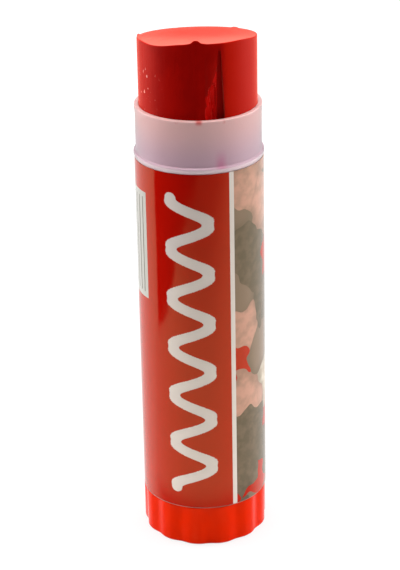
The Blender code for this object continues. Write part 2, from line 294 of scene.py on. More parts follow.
def carve(obj: Object, tool: Object, how: Carve) -> None:
    """Cuts a tool body from a piece or joins it on, and removes the tool.

    Args:
        obj: the piece.
        tool: the body that cuts or is joined.
        how: which of the two.
    """
    modifier = obj.modifiers.new(tool.name, "BOOLEAN")
    modifier.object = tool
    modifier.operation = how.value
    modifier.solver = "EXACT"
    only(obj)
    bpy.ops.object.modifier_apply(modifier=modifier.name)
    bpy.data.objects.remove(tool, do_unlink=True)


def turn_about_stick(obj: Object, angle: float) -> None:
    """Turns a body from the front round the stick's axis, towards +X."""
    obj.rotation_euler.z = angle
    settle(obj)


def smooth(obj: Object, angle: float = radians(32.0)) -> None:
    """Shades a piece smooth, apart from edges sharper than an angle."""
    only(obj)
    bpy.ops.object.shade_smooth_by_angle(angle=angle)


def place_in_frame(obj: Object, body: Body, node: str) -> None:
    """Makes a finished piece ride on its body and stand for its solid.

    Args:
        obj: the piece.
        body: the body that carries it.
        node: the solid that it stands for.
    """
    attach(obj, body.value)
    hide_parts(node)


# Finishes


class Graph:
    """The node tree of a material or a world, with short calls for the nodes that the looks share."""

    def __init__(self, owner: bpy.types.Material | bpy.types.World,
                 shader: str = "Principled BSDF") -> None:
        """Opens the node tree.

        Args:
            owner: the new material or world.
            shader: name of its shader.
        """
        owner.use_nodes = True
        self.owner = owner
        self.tree = owner.node_tree
        self.shader = self.tree.nodes[shader]

    def feed(self, socket: Socket, value: Input) -> None:
        """Links a socket to another one, or sets its value.

        Args:
            socket: the socket to feed.
            value: the other socket, or the value; a colour gets its alpha here.
        """
        if isinstance(value, Socket):
            self.tree.links.new(value, socket)
        elif socket.type == "RGBA":
            socket.default_value = (*value, 1.0)
        else:
            socket.default_value = value

    def shade(self, **values: Input) -> None:
        """Feeds the shader's sockets, named in lower case with underscores."""
        for name, value in values.items():
            self.feed(self.shader.inputs[name.replace("_", " ").title().replace("Ior", "IOR")], value)

    def add(self, kind: str, inputs: dict[Key, Input], output: Key = 0, **options: object) -> Socket:
        """Adds a node.

        Args:
            kind: its type, without the usual prefix.
            inputs: what feeds its sockets, by their names or numbers.
            output: the socket that is wanted.
            **options: the node's own settings.

        Returns:
            The wanted socket.
        """
        node = self.tree.nodes.new(f"ShaderNode{kind}")
        for name, option in options.items():
            setattr(node, name, option)
        for socket, value in inputs.items():
            self.feed(node.inputs[socket], value)
        return node.outputs[output]

    def maths(self, operation: str, *values: Input) -> Socket:
        """The result of a Math node."""
        return self.add("Math", dict(enumerate(values)), operation=operation)

    def times(self, first: Input, second: Input) -> Socket:
        """The product of two values."""
        return self.maths("MULTIPLY", first, second)

    def vary(self, noise: Socket, base: float, swing: float) -> Socket:
        """A value that a noise lifts from its base by up to its swing."""
        return self.maths("MULTIPLY_ADD", noise, swing, base)

    def length(self, *sides: Input) -> Socket:
        """Length of a vector given by its sides: the root of the sum of their squares."""
        total = reduce(lambda so_far, side: self.maths("MULTIPLY_ADD", side, side, so_far), sides, 0.0)
        return self.maths("SQRT", total)

    def place(self, stretch: Place = (1.0, 1.0, 1.0)) -> Socket:
        """Object coordinates in millimetres, stretched along each axis."""
        scale = [factor / MM for factor in stretch]
        return self.add("Mapping", {"Vector": self.add("TexCoord", {}, "Object"), "Scale": scale})

    def split(self, vector: Socket) -> Axes:
        """The x, y and z of a vector."""
        return tuple(self.add("SeparateXYZ", {0: vector}).node.outputs)

    def noise(self, vector: Socket, scale: float, detail: float = 2.0, rough: float = 0.5,
              output: str = "Fac") -> Socket:
        """A noise between 0 and 1, with scale waves for each unit of the vector."""
        settings = {"Vector": vector, "Scale": scale, "Detail": detail, "Roughness": rough}
        return self.add("TexNoise", settings, output)

    def rise(self, value: Input, low: float, high: float, floor: float = 0.0, top: float = 1.0) -> Socket:
        """A smooth step from floor to top, while a value runs from low to high."""
        ends = {"From Min": low, "From Max": high, "To Min": floor, "To Max": top}
        return self.add("MapRange", {"Value": value, **ends}, "Result", interpolation_type="SMOOTHSTEP")

    def fall(self, value: Input, low: float, high: float) -> Socket:
        """A smooth step from 1 to 0, while a value runs from low to high."""
        return self.rise(value, low, high, 1.0, 0.0)

    def band(self, value: Socket, low: float, high: float, soft: float) -> Socket:
        """1 between two levels and 0 outside, with soft edges."""
        return self.times(self.rise(value, low - soft, low + soft),
                          self.fall(value, high - soft, high + soft))

    def mix(self, factor: Input, first: Input, second: Input) -> Socket:
        """A blend of two colours, with factor as the second one's share."""
        inputs = dict(zip(MIX_INPUTS, (factor, first, second)))
        return self.add("Mix", inputs, MIX_RESULT, data_type="RGBA")

    def layer(self, ground: Input, *coats: tuple[Input, Input]) -> Socket:
        """A ground with colours laid over it, each through its mask, which stands first."""
        return reduce(lambda under, coat: self.mix(coat[0], under, coat[1]), coats, ground)

    def steps(self, factor: Socket, stops: Sequence[tuple[float, Colour]]) -> Socket:
        """A colour ramp of plain steps.

        Args:
            factor: what is read.
            stops: where each colour starts.

        Returns:
            The colour.
        """
        result = self.add("ValToRGB", {0: factor}, "Color")
        ramp = result.node.color_ramp
        ramp.interpolation = "CONSTANT"
        while len(ramp.elements) < len(stops):
            ramp.elements.new(1.0)
        for element, (position, colour) in zip(ramp.elements, stops):
            element.position = position
            element.color = (*colour, 1.0)
        return result

    def bump(self, height: Socket, depth: float, strength: float) -> Socket:
        """A normal from a height between 0 and 1 that is depth metres deep, shown at a strength."""
        return self.add("Bump", {"Strength": strength, "Distance": depth, "Height": height})


def wax_body(graph: Graph, grain: Socket, **own: Input) -> None:
    """Sets what both finishes of the wax share: soft gloss, sheen and a little light under the surface.

    Args:
        graph: the material's graph.
        grain: the wax's fine grain.
        **own: the finish's own settings.
    """
    graph.shade(
        roughness=graph.vary(grain, base=0.34, swing=0.16),
        ior=1.44,
        sheen_weight=1.0,
        subsurface_weight=0.12,
        subsurface_radius=(1.0, 0.12, 0.06),
        subsurface_scale=1.5 * MM,
        **own,
    )


@dataclass(frozen=True)
class CastWaxFinish:
    """Cast red wax: waxy sheen, drag lines along the stick, a torn groove and pale chips on its left; its
    flanks carry painted side light, its grooves painted shade and its torn edge painted lamp light.
    """

    name: str = "cast_wax"
    red: Colour = (0.32, 0.0015, 0.0004)
    deep_red: Colour = (0.275, 0.001, 0.0003)
    # painted side light: the flanks are lighter red where the side lamps fall on them
    flank_light_and_crest_rub: Colour = (0.415, 0.005, 0.0005)
    flank_light_right: Point = (5.8, 7.8)
    flank_light_left: Point = (-14.0, -9.0)
    # painted shade: the grooves are darker where shade falls in them
    groove: Colour = (0.29, 0.001, 0.0003)
    groove_wall: Point = (15.0, 15.35)
    groove_sides: Point = (-0.4, 1.25)
    # painted light: the torn edge is brighter red where it faces the right lamp
    torn: Colour = (0.52, 0.002, 0.001)
    torn_wall: Point = (15.30, 15.42)
    torn_sides: Point = (-4.2, -0.5)
    torn_past: Point = (6.0, 7.0)
    side_soft: float = 0.15
    end_soft: float = 0.5
    chip: Colour = (0.82, 0.34, 0.28)
    chip_place: Place = (-13.2, -8.0, 129.2)
    chip_reach: float = 7.0
    chip_core: float = 0.35
    chip_flecks: Point = (0.66, 0.71)
    drag_relief: float = 0.5
    grain_relief: float = 0.35
    chip_relief: float = 0.6

    def material(self) -> bpy.types.Material:
        """The finish as a material.

        Returns:
            The new material.
        """
        graph = Graph(bpy.data.materials.new(self.name))
        place = graph.place()
        axes = graph.split(place)
        cloud = graph.noise(place, scale=0.16, detail=3.0)
        drag = graph.noise(graph.place((1.0, 1.0, 0.04)), scale=1.6, detail=3.0, rough=0.6)
        grain = graph.noise(place, scale=2.2, detail=4.0, rough=0.65)
        chips = self.chips(graph, axes)
        groove_shade, torn = self.grooved(graph, axes)
        # painted side light on both flanks of the stick
        flank_light_and_crest_rub = graph.maths("MAXIMUM", graph.rise(axes[0], *self.flank_light_right),
                             graph.fall(axes[0], *self.flank_light_left))
        relief = graph.maths("ADD", graph.times(drag, self.drag_relief),
                             graph.times(grain, self.grain_relief))
        relief = graph.maths("SUBTRACT", relief, graph.times(chips, self.chip_relief))
        wax_body(
            graph, grain,
            base_color=graph.layer(
                self.deep_red, (graph.rise(cloud, low=0.35, high=0.65), self.red), (flank_light_and_crest_rub, self.flank_light_and_crest_rub),
                (groove_shade, self.groove), (torn, self.torn), (chips, self.chip)),
            specular_ior_level=0.04,
            specular_tint=(1.0, 0.9, 0.7),
            sheen_roughness=0.28,
            sheen_tint=(1.0, 0.22, 0.15),
            normal=graph.bump(relief, depth=0.12 * MM, strength=0.6),
        )
        return graph.owner

    def chips(self, graph: Graph, axes: Axes) -> Socket:
        """Mask of the pale chips, which thin out round their place.

        Args:
            graph: the material's graph.
            axes: place in millimetres.

        Returns:
            The mask.
        """
        offsets = [graph.maths("SUBTRACT", axis, centre) for axis, centre in zip(axes, self.chip_place)]
        near = graph.fall(graph.length(*offsets), self.chip_core * self.chip_reach, self.chip_reach)
        flecks = graph.noise(graph.place((1.0, 1.0, 0.6)), scale=1.05, detail=1.0)
        return graph.times(near, graph.rise(flecks, *self.chip_flecks))

    def grooved(self, graph: Graph, axes: Axes) -> tuple[Socket, Socket]:
        """Masks of the grooves, painted darker as shade, and of the torn edge, painted brighter as lamp
        light.

        Args:
            graph: the material's graph.
            axes: place in millimetres.

        Returns:
            The mask of both grooves and that of the torn edge.
        """
        x, y, z = axes
        stick = WaxStick()
        across, inwards = cos(stick.groove_angles[0]), sin(stick.groove_angles[0])
        aside = graph.maths("ADD", graph.times(x, across), graph.times(y, inwards))
        ahead = graph.maths("SUBTRACT", graph.times(x, inwards), graph.times(y, across))
        out = graph.length(x, y)
        groove_shade, torn = (
            graph.times(graph.band(aside, *sides, self.side_soft), graph.fall(out, *wall))
            for sides, wall in ((self.groove_sides, self.groove_wall), (self.torn_sides, self.torn_wall)))
        low, high = (end / MM for end in stick.tear_middle)
        below, above = self.torn_past
        torn = graph.times(torn, graph.band(z, low - below, high + above, self.end_soft))
        return groove_shade, graph.times(torn, graph.rise(ahead, low=0.0, high=1.0))


@dataclass(frozen=True)
class WornWaxFinish:
    """Wax worn flat on a hide: red painted as lit strongly from above, paler outwards from its heart as
    painted glare.
    """

    name: str = "worn_wax"
    # painted top light: the worn top is brighter and more orange than the flanks because of its strong
    # light
    top_lit_red: Colour = (0.40, 0.018, 0.012)
    # painted glare: paler towards the edge, most at the front left, where the top reflects the lit
    # surroundings
    pale: Colour = (0.42, 0.104, 0.078)
    heart: Point = (1.0, 6.0)
    squeeze: float = 0.75
    painted_glare: Point = (3.0, 20.0)

    def material(self) -> bpy.types.Material:
        """The finish as a material.

        Returns:
            The new material.
        """
        graph = Graph(bpy.data.materials.new(self.name))
        place = graph.place()
        x, y, _ = graph.split(place)
        aside = graph.times(graph.maths("SUBTRACT", x, self.heart[0]), self.squeeze)
        painted_glare = graph.rise(graph.length(aside, graph.maths("SUBTRACT", y, self.heart[1])), *self.painted_glare)
        grain = graph.noise(place, scale=2.2, detail=4.0, rough=0.65)
        wax_body(
            graph, grain,
            base_color=graph.mix(painted_glare, self.top_lit_red, self.pale),
            specular_ior_level=0.01,
            sheen_roughness=0.35,
            sheen_tint=(1.0, 0.125, 0.085),
            normal=graph.bump(grain, depth=0.05 * MM, strength=0.5),
        )
        return graph.owner


@dataclass(frozen=True)
class FrostedFinish:
    """Milky moulded plastic that the wax glows through, glassier edge-on, with wax smears at its rim and
    its bead painted lighter as top light.
    """

    name: str = "frosted_barrel"
    through: Colour = (0.88, 0.55, 0.53)
    edge_blend: float = 0.75
    low_tint: Colour = (0.45, 0.31, 0.46)
    low_share: float = 0.6
    low_end: float = 0.6
    rim: float = 123.1
    bead: float = 110.6
    # painted light: the bead is paler where it catches the top lamp
    lit_bead: Colour = (0.98, 0.79, 0.82)
    bead_fade: Point = (0.7, 0.2)
    rib_angle: float = radians(21.0)
    streak: Colour = (0.62, 0.25, 0.38)
    streak_sides: Point = (0.09, 0.05)
    streak_soft: float = 0.06
    streak_fade: Point = (0.4, 5.2)
    smear: Colour = (0.75, 0.05, 0.04)
    smear_sides: Point = (-0.04, 0.05)
    smear_soft: float = 0.03
    smear_fade: Point = (1.4, 0.3)
    front_smear: float = 0.8
    foot_tint: Colour = (0.55, 0.20, 0.18)
    foot_fade: Point = (12.5, 14.0)

    def material(self) -> bpy.types.Material:
        """The finish as a material.

        Returns:
            The new material.
        """
        graph = Graph(bpy.data.materials.new(self.name))
        place = graph.place()
        x, y, z = graph.split(place)
        angle = graph.maths("ARCTAN2", x, graph.times(y, -1.0))
        low = graph.fall(z, self.bead, self.rim - self.low_end)
        left, right = self.streak_sides
        streak = graph.times(
            graph.band(angle, self.rib_angle - left, self.rib_angle + right, self.streak_soft),
            graph.fall(z, *(self.bead + end for end in self.streak_fade)))
        glow = graph.layer(
            self.through, (graph.times(low, self.low_share), self.low_tint), (streak, self.streak))
        facing = graph.add("LayerWeight", {"Blend": self.edge_blend}, "Facing")
        at_bead = graph.fall(z, *(self.bead - end for end in self.bead_fade))
        at_foot = graph.fall(z, *self.foot_fade)
        at_rim = graph.rise(z, *(self.rim - end for end in self.smear_fade))
        at_front = graph.times(graph.band(angle, *self.smear_sides, self.smear_soft), self.front_smear)
        rub = graph.rise(graph.noise(place, scale=0.55), low=0.62, high=0.78, top=0.5)
        smears = graph.times(at_rim, graph.maths("MAXIMUM", at_front, rub))
        grain = graph.noise(place, scale=1.7, detail=4.0, rough=0.6)
        graph.shade(
            base_color=graph.layer(
                glow, (at_bead, self.lit_bead), (at_foot, self.foot_tint), (smears, self.smear)),
            roughness=graph.vary(grain, base=0.40, swing=0.14),
            ior=1.49,
            transmission_weight=graph.vary(facing, base=0.15, swing=0.42),
            sheen_weight=0.2,
            sheen_roughness=0.4,
            sheen_tint=(0.6, 1.0, 0.9),
            normal=graph.bump(grain, depth=0.04 * MM, strength=0.5),
        )
        return graph.owner


@dataclass(frozen=True)
class LabelPrint:
    """Glossy printed film: red ground, a white crayon squiggle, a strip of hide patches and a pale panel.

    Its places are millimetres on the film: x from the front, towards +X, and y from the film's lower edge.
    """

    name: str = "label_print"
    red: Colour = (0.46, 0.003, 0.0006)
    deep_red: Colour = (0.36, 0.004, 0.001)
    white: Colour = (0.74, 0.66, 0.61)
    panel: Colour = (0.48, 0.47, 0.44)
    rule: Colour = (0.10, 0.09, 0.085)
    taupe: Colour = (0.23, 0.155, 0.115)
    pink: Colour = (0.56, 0.29, 0.22)
    grey: Colour = (0.115, 0.085, 0.062)
    cream: Colour = (0.66, 0.56, 0.44)
    edge_soft: float = 0.04
    stripes: Point = (8.43, 31.0)
    stripe_width: float = 1.3
    strip_soft: float = 0.03
    squiggle_middle: float = -3.0
    squiggle_swing: float = 4.9
    squiggle_bends: int = 12
    squiggle_width: float = 3.1
    squiggle_rough: float = 0.5
    squiggle_soft: float = 0.06
    squiggle_ends: Point = (5.8, 90.3)
    panel_low: Point = (-28.0, 59.7)
    panel_high: Point = (-16.4, 89.7)
    panel_inset: float = 1.5
    inset_soft: float = 0.05
    rule_pitch: float = 1.9
    rule_share: Point = (0.36, 0.64)
    rule_soft: float = 0.03
    patch_pitch: float = 12.0
    patch_sway: float = 12.0
    coat_starts: tuple[float, ...] = (0.0, 0.3, 0.52, 0.72)
    bare_patches: Point = (0.8, 0.801)

    def material(self, film_length: float, film_height: float, front: float) -> bpy.types.Material:
        """The print as a material.

        Args:
            film_length: length of the film along its wrap, in millimetres.
            film_height: height of the film, in millimetres.
            front: place of the stick's front along the wrap, in millimetres.

        Returns:
            The material, which reads the film's own UV map.
        """
        graph = Graph(bpy.data.materials.new(self.name))
        along, up, _ = graph.split(graph.add("UVMap", {}, uv_map=Label.uv_name))
        x = graph.maths("MULTIPLY_ADD", along, film_length, -front)
        y = graph.times(up, film_height)
        sheet = graph.add("CombineXYZ", {"X": x, "Y": y})
        tooth = graph.noise(sheet, scale=3.2, detail=3.0, rough=0.6)
        tone = graph.rise(graph.noise(sheet, scale=0.3), low=0.3, high=0.7, top=0.12)
        red = graph.mix(tone, self.red, self.deep_red)
        half = self.stripe_width / 2
        stripes = [graph.band(x, middle - half, middle + half, self.edge_soft) for middle in self.stripes]
        waves = graph.noise(sheet, scale=0.09)
        graph.shade(
            base_color=graph.layer(
                red,
                (graph.band(x, *self.stripes, self.strip_soft), self.patches(graph, sheet, red)),
                (self.panel_mask(graph, x, y, 0.0, self.edge_soft), self.panel_colour(graph, x, y)),
                (self.squiggle(graph, x, y, tooth), self.white),
                *((stripe, self.white) for stripe in stripes)),
            roughness=graph.vary(tooth, base=0.07, swing=0.05),
            ior=1.5,
            specular_ior_level=0.7,
            specular_tint=(1.0, 0.85, 0.33),
            normal=graph.bump(waves, depth=0.22 * MM, strength=0.25),
        )
        return graph.owner

    def squiggle(self, graph: Graph, x: Socket, y: Socket, tooth: Socket) -> Socket:
        """Mask of the squiggle: a thick wave up the film with round ends and a crayon's rough edge.

        Args:
            graph: the material's graph.
            x: place along the film.
            y: place up the film.
            tooth: noise that roughens its edge.

        Returns:
            The mask.
        """
        low, high = self.squiggle_ends
        turn = pi * self.squiggle_bends / (high - low)
        held = graph.maths("MINIMUM", graph.maths("MAXIMUM", y, low), high)
        phase = graph.maths("MULTIPLY_ADD", held, turn, -pi / 2 - low * turn)
        swing = graph.maths("MULTIPLY_ADD", graph.maths("SINE", phase), self.squiggle_swing,
                            self.squiggle_middle)
        slope = graph.times(graph.maths("COSINE", phase), self.squiggle_swing * turn)
        aside = graph.maths("DIVIDE", graph.maths("SUBTRACT", x, swing), graph.length(slope, 1.0))
        beyond = graph.maths("SUBTRACT", y, held)
        ragged = graph.maths("MULTIPLY_ADD", tooth, self.squiggle_rough, graph.length(aside, beyond))
        half = self.squiggle_width / 2 + self.squiggle_rough / 2
        return graph.fall(ragged, half - self.squiggle_soft, half + self.squiggle_soft)

    def patches(self, graph: Graph, sheet: Socket, red: Socket) -> Socket:
        """Colour of the strip: patches as on a hide, in four coat colours on the red ground.

        Args:
            graph: the material's graph.
            sheet: place on the film.
            red: colour of the ground.

        Returns:
            The colour.
        """
        sway = graph.noise(sheet, scale=0.13, detail=1.0, output="Color")
        shift = (self.patch_sway, self.patch_sway, 0.0)
        bent = graph.add("VectorMath", {0: sway, 1: shift, 2: sheet}, operation="MULTIPLY_ADD")
        cells = graph.add("TexVoronoi", {"Vector": bent, "Scale": 1 / self.patch_pitch},
                          voronoi_dimensions="2D").node.outputs
        chance, _, _ = graph.split(cells["Color"])
        coats = (self.taupe, self.pink, self.grey, self.cream)
        hair = graph.noise(sheet, scale=0.35)
        return graph.layer(
            graph.steps(chance, tuple(zip(self.coat_starts, coats))),
            (graph.rise(hair, low=0.35, high=0.7, top=0.4), self.taupe),
            (graph.rise(cells["Distance"], low=0.35, high=0.8, top=0.5), self.grey),
            (graph.rise(chance, *self.bare_patches), red))

    def panel_mask(self, graph: Graph, x: Socket, y: Socket, inset: float, soft: float) -> Socket:
        """Mask of the pale panel, less an inset on all sides, with soft edges."""
        sides = zip((x, y), self.panel_low, self.panel_high)
        return graph.times(*(graph.band(axis, low + inset, high - inset, soft)
                             for axis, low, high in sides))

    def panel_colour(self, graph: Graph, x: Socket, y: Socket) -> Socket:
        """Colour of the pale panel: writing rules along the stick, clear of its edges.

        Args:
            graph: the material's graph.
            x: place along the film.
            y: place up the film.

        Returns:
            The colour.
        """
        place = graph.maths("FRACT", graph.maths("DIVIDE", x, self.rule_pitch))
        line = graph.band(place, *self.rule_share, self.rule_soft)
        inside = self.panel_mask(graph, x, y, self.panel_inset, self.inset_soft)
        return graph.mix(graph.times(line, inside), self.panel, self.rule)


@dataclass(frozen=True)
class KnobFinish:
    """Satin orange-red moulding, a little worn on its crests."""

    name: str = "knob_plastic"
    red: Colour = (0.745, 0.018, 0.0003)
    deep_red: Colour = (0.69, 0.015, 0.0002)
    # on the knob, this colour is wear on its crests
    flank_light_and_crest_rub: Colour = (0.82, 0.04, 0.008)
    crest: float = 17.05
    rubbed_depth: float = 0.08

    def material(self) -> bpy.types.Material:
        """The finish as a material.

        Returns:
            The new material.
        """
        graph = Graph(bpy.data.materials.new(self.name))
        place = graph.place()
        x, y, _ = graph.split(place)
        cloud = graph.noise(place, scale=0.25)
        grain = graph.noise(place, scale=2.6, detail=4.0, rough=0.6)
        crest = graph.rise(graph.length(x, y), self.crest - self.rubbed_depth, self.crest)
        rub = graph.times(crest, graph.rise(cloud, low=0.45, high=0.75, top=0.3))
        graph.shade(
            base_color=graph.layer(
                self.red, (graph.rise(cloud, low=0.3, high=0.7, top=0.5), self.deep_red),
                (rub, self.flank_light_and_crest_rub)),
            roughness=graph.vary(grain, base=0.13, swing=0.05),
            ior=1.49,
            specular_ior_level=0.12,
            specular_tint=(1.0, 0.75, 0.35),
            normal=graph.bump(grain, depth=0.01 * MM, strength=0.4),
        )
        return graph.owner


@dataclass(frozen=True)
class NaturalFinish:
    """Uncoloured moulded plastic with faint flow lines and red wax rubbed into it."""

    name: str
    pale: Colour = (0.80, 0.78, 0.74)
    stained: Colour = (0.70, 0.30, 0.26)
    stain: float = 0.35

    def material(self) -> bpy.types.Material:
        """The finish as a material.

        Returns:
            The new material.
        """
        graph = Graph(bpy.data.materials.new(self.name))
        flow = graph.noise(graph.place((1.0, 1.0, 0.3)), scale=0.35, detail=3.0)
        grain = graph.noise(graph.place(), scale=2.0, detail=4.0, rough=0.6)
        stains = graph.times(graph.rise(flow, low=0.48, high=0.75), self.stain)
        graph.shade(
            base_color=graph.mix(stains, self.pale, self.stained),
            roughness=graph.vary(grain, base=0.36, swing=0.18),
            ior=1.5,
            normal=graph.bump(grain, depth=0.05 * MM, strength=0.5),
        )
        return graph.owner


# Sub-assemblies


@dataclass(frozen=True)
class GuideBar:
    """A tapered bar along the bore's wall: a guide rib or, with clearance, its groove in the wax."""

    wall: float = 15.7 * MM
    root: float = 0.5 * MM
    width: float = 2.1 * MM
    depth: float = 1.0 * MM
    tip_width: float = 0.3 * MM
    tip_depth: float = 0.3 * MM
    taper: float = 16.0 * MM

    def build(self, name: str, angle: float, low: float, high: float, clearance: float) -> Object:
        """Models the bar.

        Args:
            name: name of the new object.
            angle: place round the stick.
            low: its lower end.
            high: its tip.
            clearance: how much it grows on all sides.

        Returns:
            The bar.
        """
        half = self.width / 2 + clearance
        outer = self.wall + self.root
        inner = self.wall - self.depth - clearance
        shoulder = high - self.taper
        bar = block(name, (-half, -outer, low), (half, -inner, shoulder))
        with editing(bar):
            pick(bar, Pick.FACES, lambda middle: middle.z > shoulder - WELD)
            bpy.ops.mesh.extrude_region_move(TRANSFORM_OT_translate={"value": (0.0, 0.0, self.taper)})
            narrow = (self.tip_width / 2 + clearance) / half
            shallow = (self.root + self.tip_depth + clearance) / (outer - inner)
            bpy.ops.transform.resize(value=(narrow, shallow, 1.0), center_override=(0.0, -outer, high))
        close_up(bar)
        turn_about_stick(bar, angle)
        return bar


@dataclass(frozen=True)
class Barrel:
    """The frosted tube: neck with a rounded rim, stop bead, label field, snap groove and guide ribs."""

    foot: float = 11.66 * MM
    bead_foot: float = 109.0 * MM
    bead_top: float = 110.6 * MM
    rim: float = 123.1 * MM
    bore: float = 15.7 * MM
    neck: float = 16.53 * MM
    body: float = 16.75 * MM
    bead: float = 17.13 * MM
    rim_flare: float = 0.17 * MM
    flare_height: float = 3.0 * MM
    wiper: float = 15.56 * MM
    wiper_height: float = 0.9 * MM
    rim_rounding: float = 0.3 * MM
    inner_rounding: float = 0.08 * MM
    bead_rounding: float = 0.5 * MM
    fillet: float = 0.18 * MM
    foot_chamfer: float = 0.15 * MM
    foot_lip: float = 17.0 * MM
    foot_lip_height: float = 0.23 * MM
    snap_groove: Point = (13.6 * MM, 15.6 * MM)
    snap_depth: float = 0.45 * MM
    rib_angles: Point = (radians(21.0), radians(201.0))
    rib_foot: float = 17.5 * MM
    rib_tip: float = 120.6 * MM
    segments: int = 192

    def profile(self) -> list[Point]:
        """The tube's wall, from the bore's upper end over the rim, down outside and up the bore.

        Returns:
            Its (radius, height) points.
        """
        rim, inner, bead, fillet = self.rim_rounding, self.inner_rounding, self.bead_rounding, self.fillet
        groove_low, groove_high = self.snap_groove
        lip = self.neck + self.rim_flare
        return [
            (self.wiper, self.rim - self.wiper_height),
            *arc((self.wiper + inner, self.rim - inner), inner, 180.0, 90.0),
            *arc((lip - rim, self.rim - rim), rim, 90.0, 0.0),
            (self.neck + self.rim_flare / 3, self.rim - self.flare_height / 2),
            (self.neck, self.rim - self.flare_height),
            *arc((self.neck + fillet, self.bead_top + fillet), fillet, 180.0, 270.0),
            *arc((self.bead - bead, self.bead_top - bead), bead, 90.0, 0.0),
            *arc((self.bead - bead, self.bead_foot + bead), bead, 0.0, -90.0),
            (self.body, self.bead_foot),
            (self.body, self.foot + self.foot_lip_height),
            (self.foot_lip - self.foot_chamfer / 3, self.foot + self.foot_lip_height),
            (self.foot_lip, self.foot + self.foot_lip_height / 2),
            (self.foot_lip - self.foot_chamfer / 3, self.foot),
            (self.bore, self.foot),
            (self.bore, groove_low),
            (self.bore + self.snap_depth, groove_low + self.snap_depth),
            (self.bore + self.snap_depth, groove_high - self.snap_depth),
            (self.bore, groove_high),
            (self.bore, self.rim - 2 * self.wiper_height),
        ]

    def build(self) -> Object:
        """Models and dresses the barrel.

        Returns:
            The barrel.
        """
        barrel = turned("frosted_barrel", self.profile(), self.segments, tube=True)
        for number, angle in enumerate(self.rib_angles, 1):
            rib = GuideBar().build(f"guide_rib_{number}", angle, self.rib_foot, self.rib_tip, 0.0)
            carve(barrel, rib, Carve.JOIN)
        smooth(barrel)
        barrel.data.materials.append(FrostedFinish().material())
        place_in_frame(barrel, Body.BARREL, "barrel")
        return barrel


@dataclass(frozen=True)
class Label:
    """The printed film: wrapped once round the barrel from the back, over its left side, onto itself."""

    uv_name: ClassVar[str] = "film"
    foot: float = 11.91 * MM
    height: float = 97.04 * MM
    inner: float = 16.81 * MM
    film: float = 0.12 * MM
    lift: float = 0.18 * MM
    overlap: float = 5.0 * MM
    steps: int = 252

    @property
    def sweep(self) -> float:
        """Angle of the whole wrap."""
        return 2 * pi + self.overlap / self.inner

    def build(self) -> Object:
        """Models and dresses the label.

        Returns:
            The label.
        """
        label = self.wrap()
        self.spread(label)
        self.spiral(label)
        smooth(label)
        radius = self.inner / MM
        label.data.materials.append(
            LabelPrint().material(self.sweep * radius, self.height / MM, pi * radius))
        place_in_frame(label, Body.BARREL, "label")
        return label

    def wrap(self) -> Object:
        """One edge of the film, spun round the barrel from the back.

        Returns:
            The film, still without thickness.
        """
        label = primitive("printed_label", bpy.ops.mesh.primitive_plane_add, size=self.height,
                          location=(0.0, self.inner, self.foot + self.height / 2),
                          rotation=(0.0, pi / 2, 0.0))
        with editing(label):
            pick(label, Pick.POINTS, lambda middle: middle.y > self.inner)
            bpy.ops.mesh.delete(type="VERT")
            bpy.ops.mesh.select_all(action="SELECT")
            bpy.ops.transform.translate(value=(0.0, self.height / 2, 0.0))
            bpy.ops.mesh.spin(steps=self.steps, angle=-self.sweep, use_auto_merge=False,
                              center=(0.0, 0.0, 0.0), axis=(0.0, 0.0, 1.0))
        return label

    def spread(self, label: Object) -> None:
        """Lays the film flat in its UV map: along the wrap and up its height.

        Args:
            label: the film.
        """
        layer = label.data.uv_layers.new(name=self.uv_name)
        for loop in label.data.loops:
            up = (label.data.vertices[loop.vertex_index].co.z - self.foot) / self.height
            layer.data[loop.index].uv = (loop.vertex_index // 2 / self.steps, up)

    def spiral(self, label: Object) -> None:
        """Lifts the film evenly along its wrap, to lie on its own start, and gives it thickness.

        Args:
            label: the film.
        """
        wrap = label.vertex_groups.new(name="wrap")
        for vertex in label.data.vertices:
            wrap.add([vertex.index], vertex.index // 2 / self.steps, "REPLACE")
        with editing(label):
            bpy.ops.mesh.normals_make_consistent(inside=False)
        lift = label.modifiers.new("Lift", "DISPLACE")
        lift.vertex_group = wrap.name
        lift.mid_level = 0.0
        lift.strength = self.lift * self.sweep / (2 * pi)
        film = label.modifiers.new("Film", "SOLIDIFY")
        film.thickness = self.film
        film.offset = 1.0
        film.use_even_offset = True
        only(label)
        for modifier in list(label.modifiers):
            bpy.ops.object.modifier_apply(modifier=modifier.name)
        label.vertex_groups.clear()


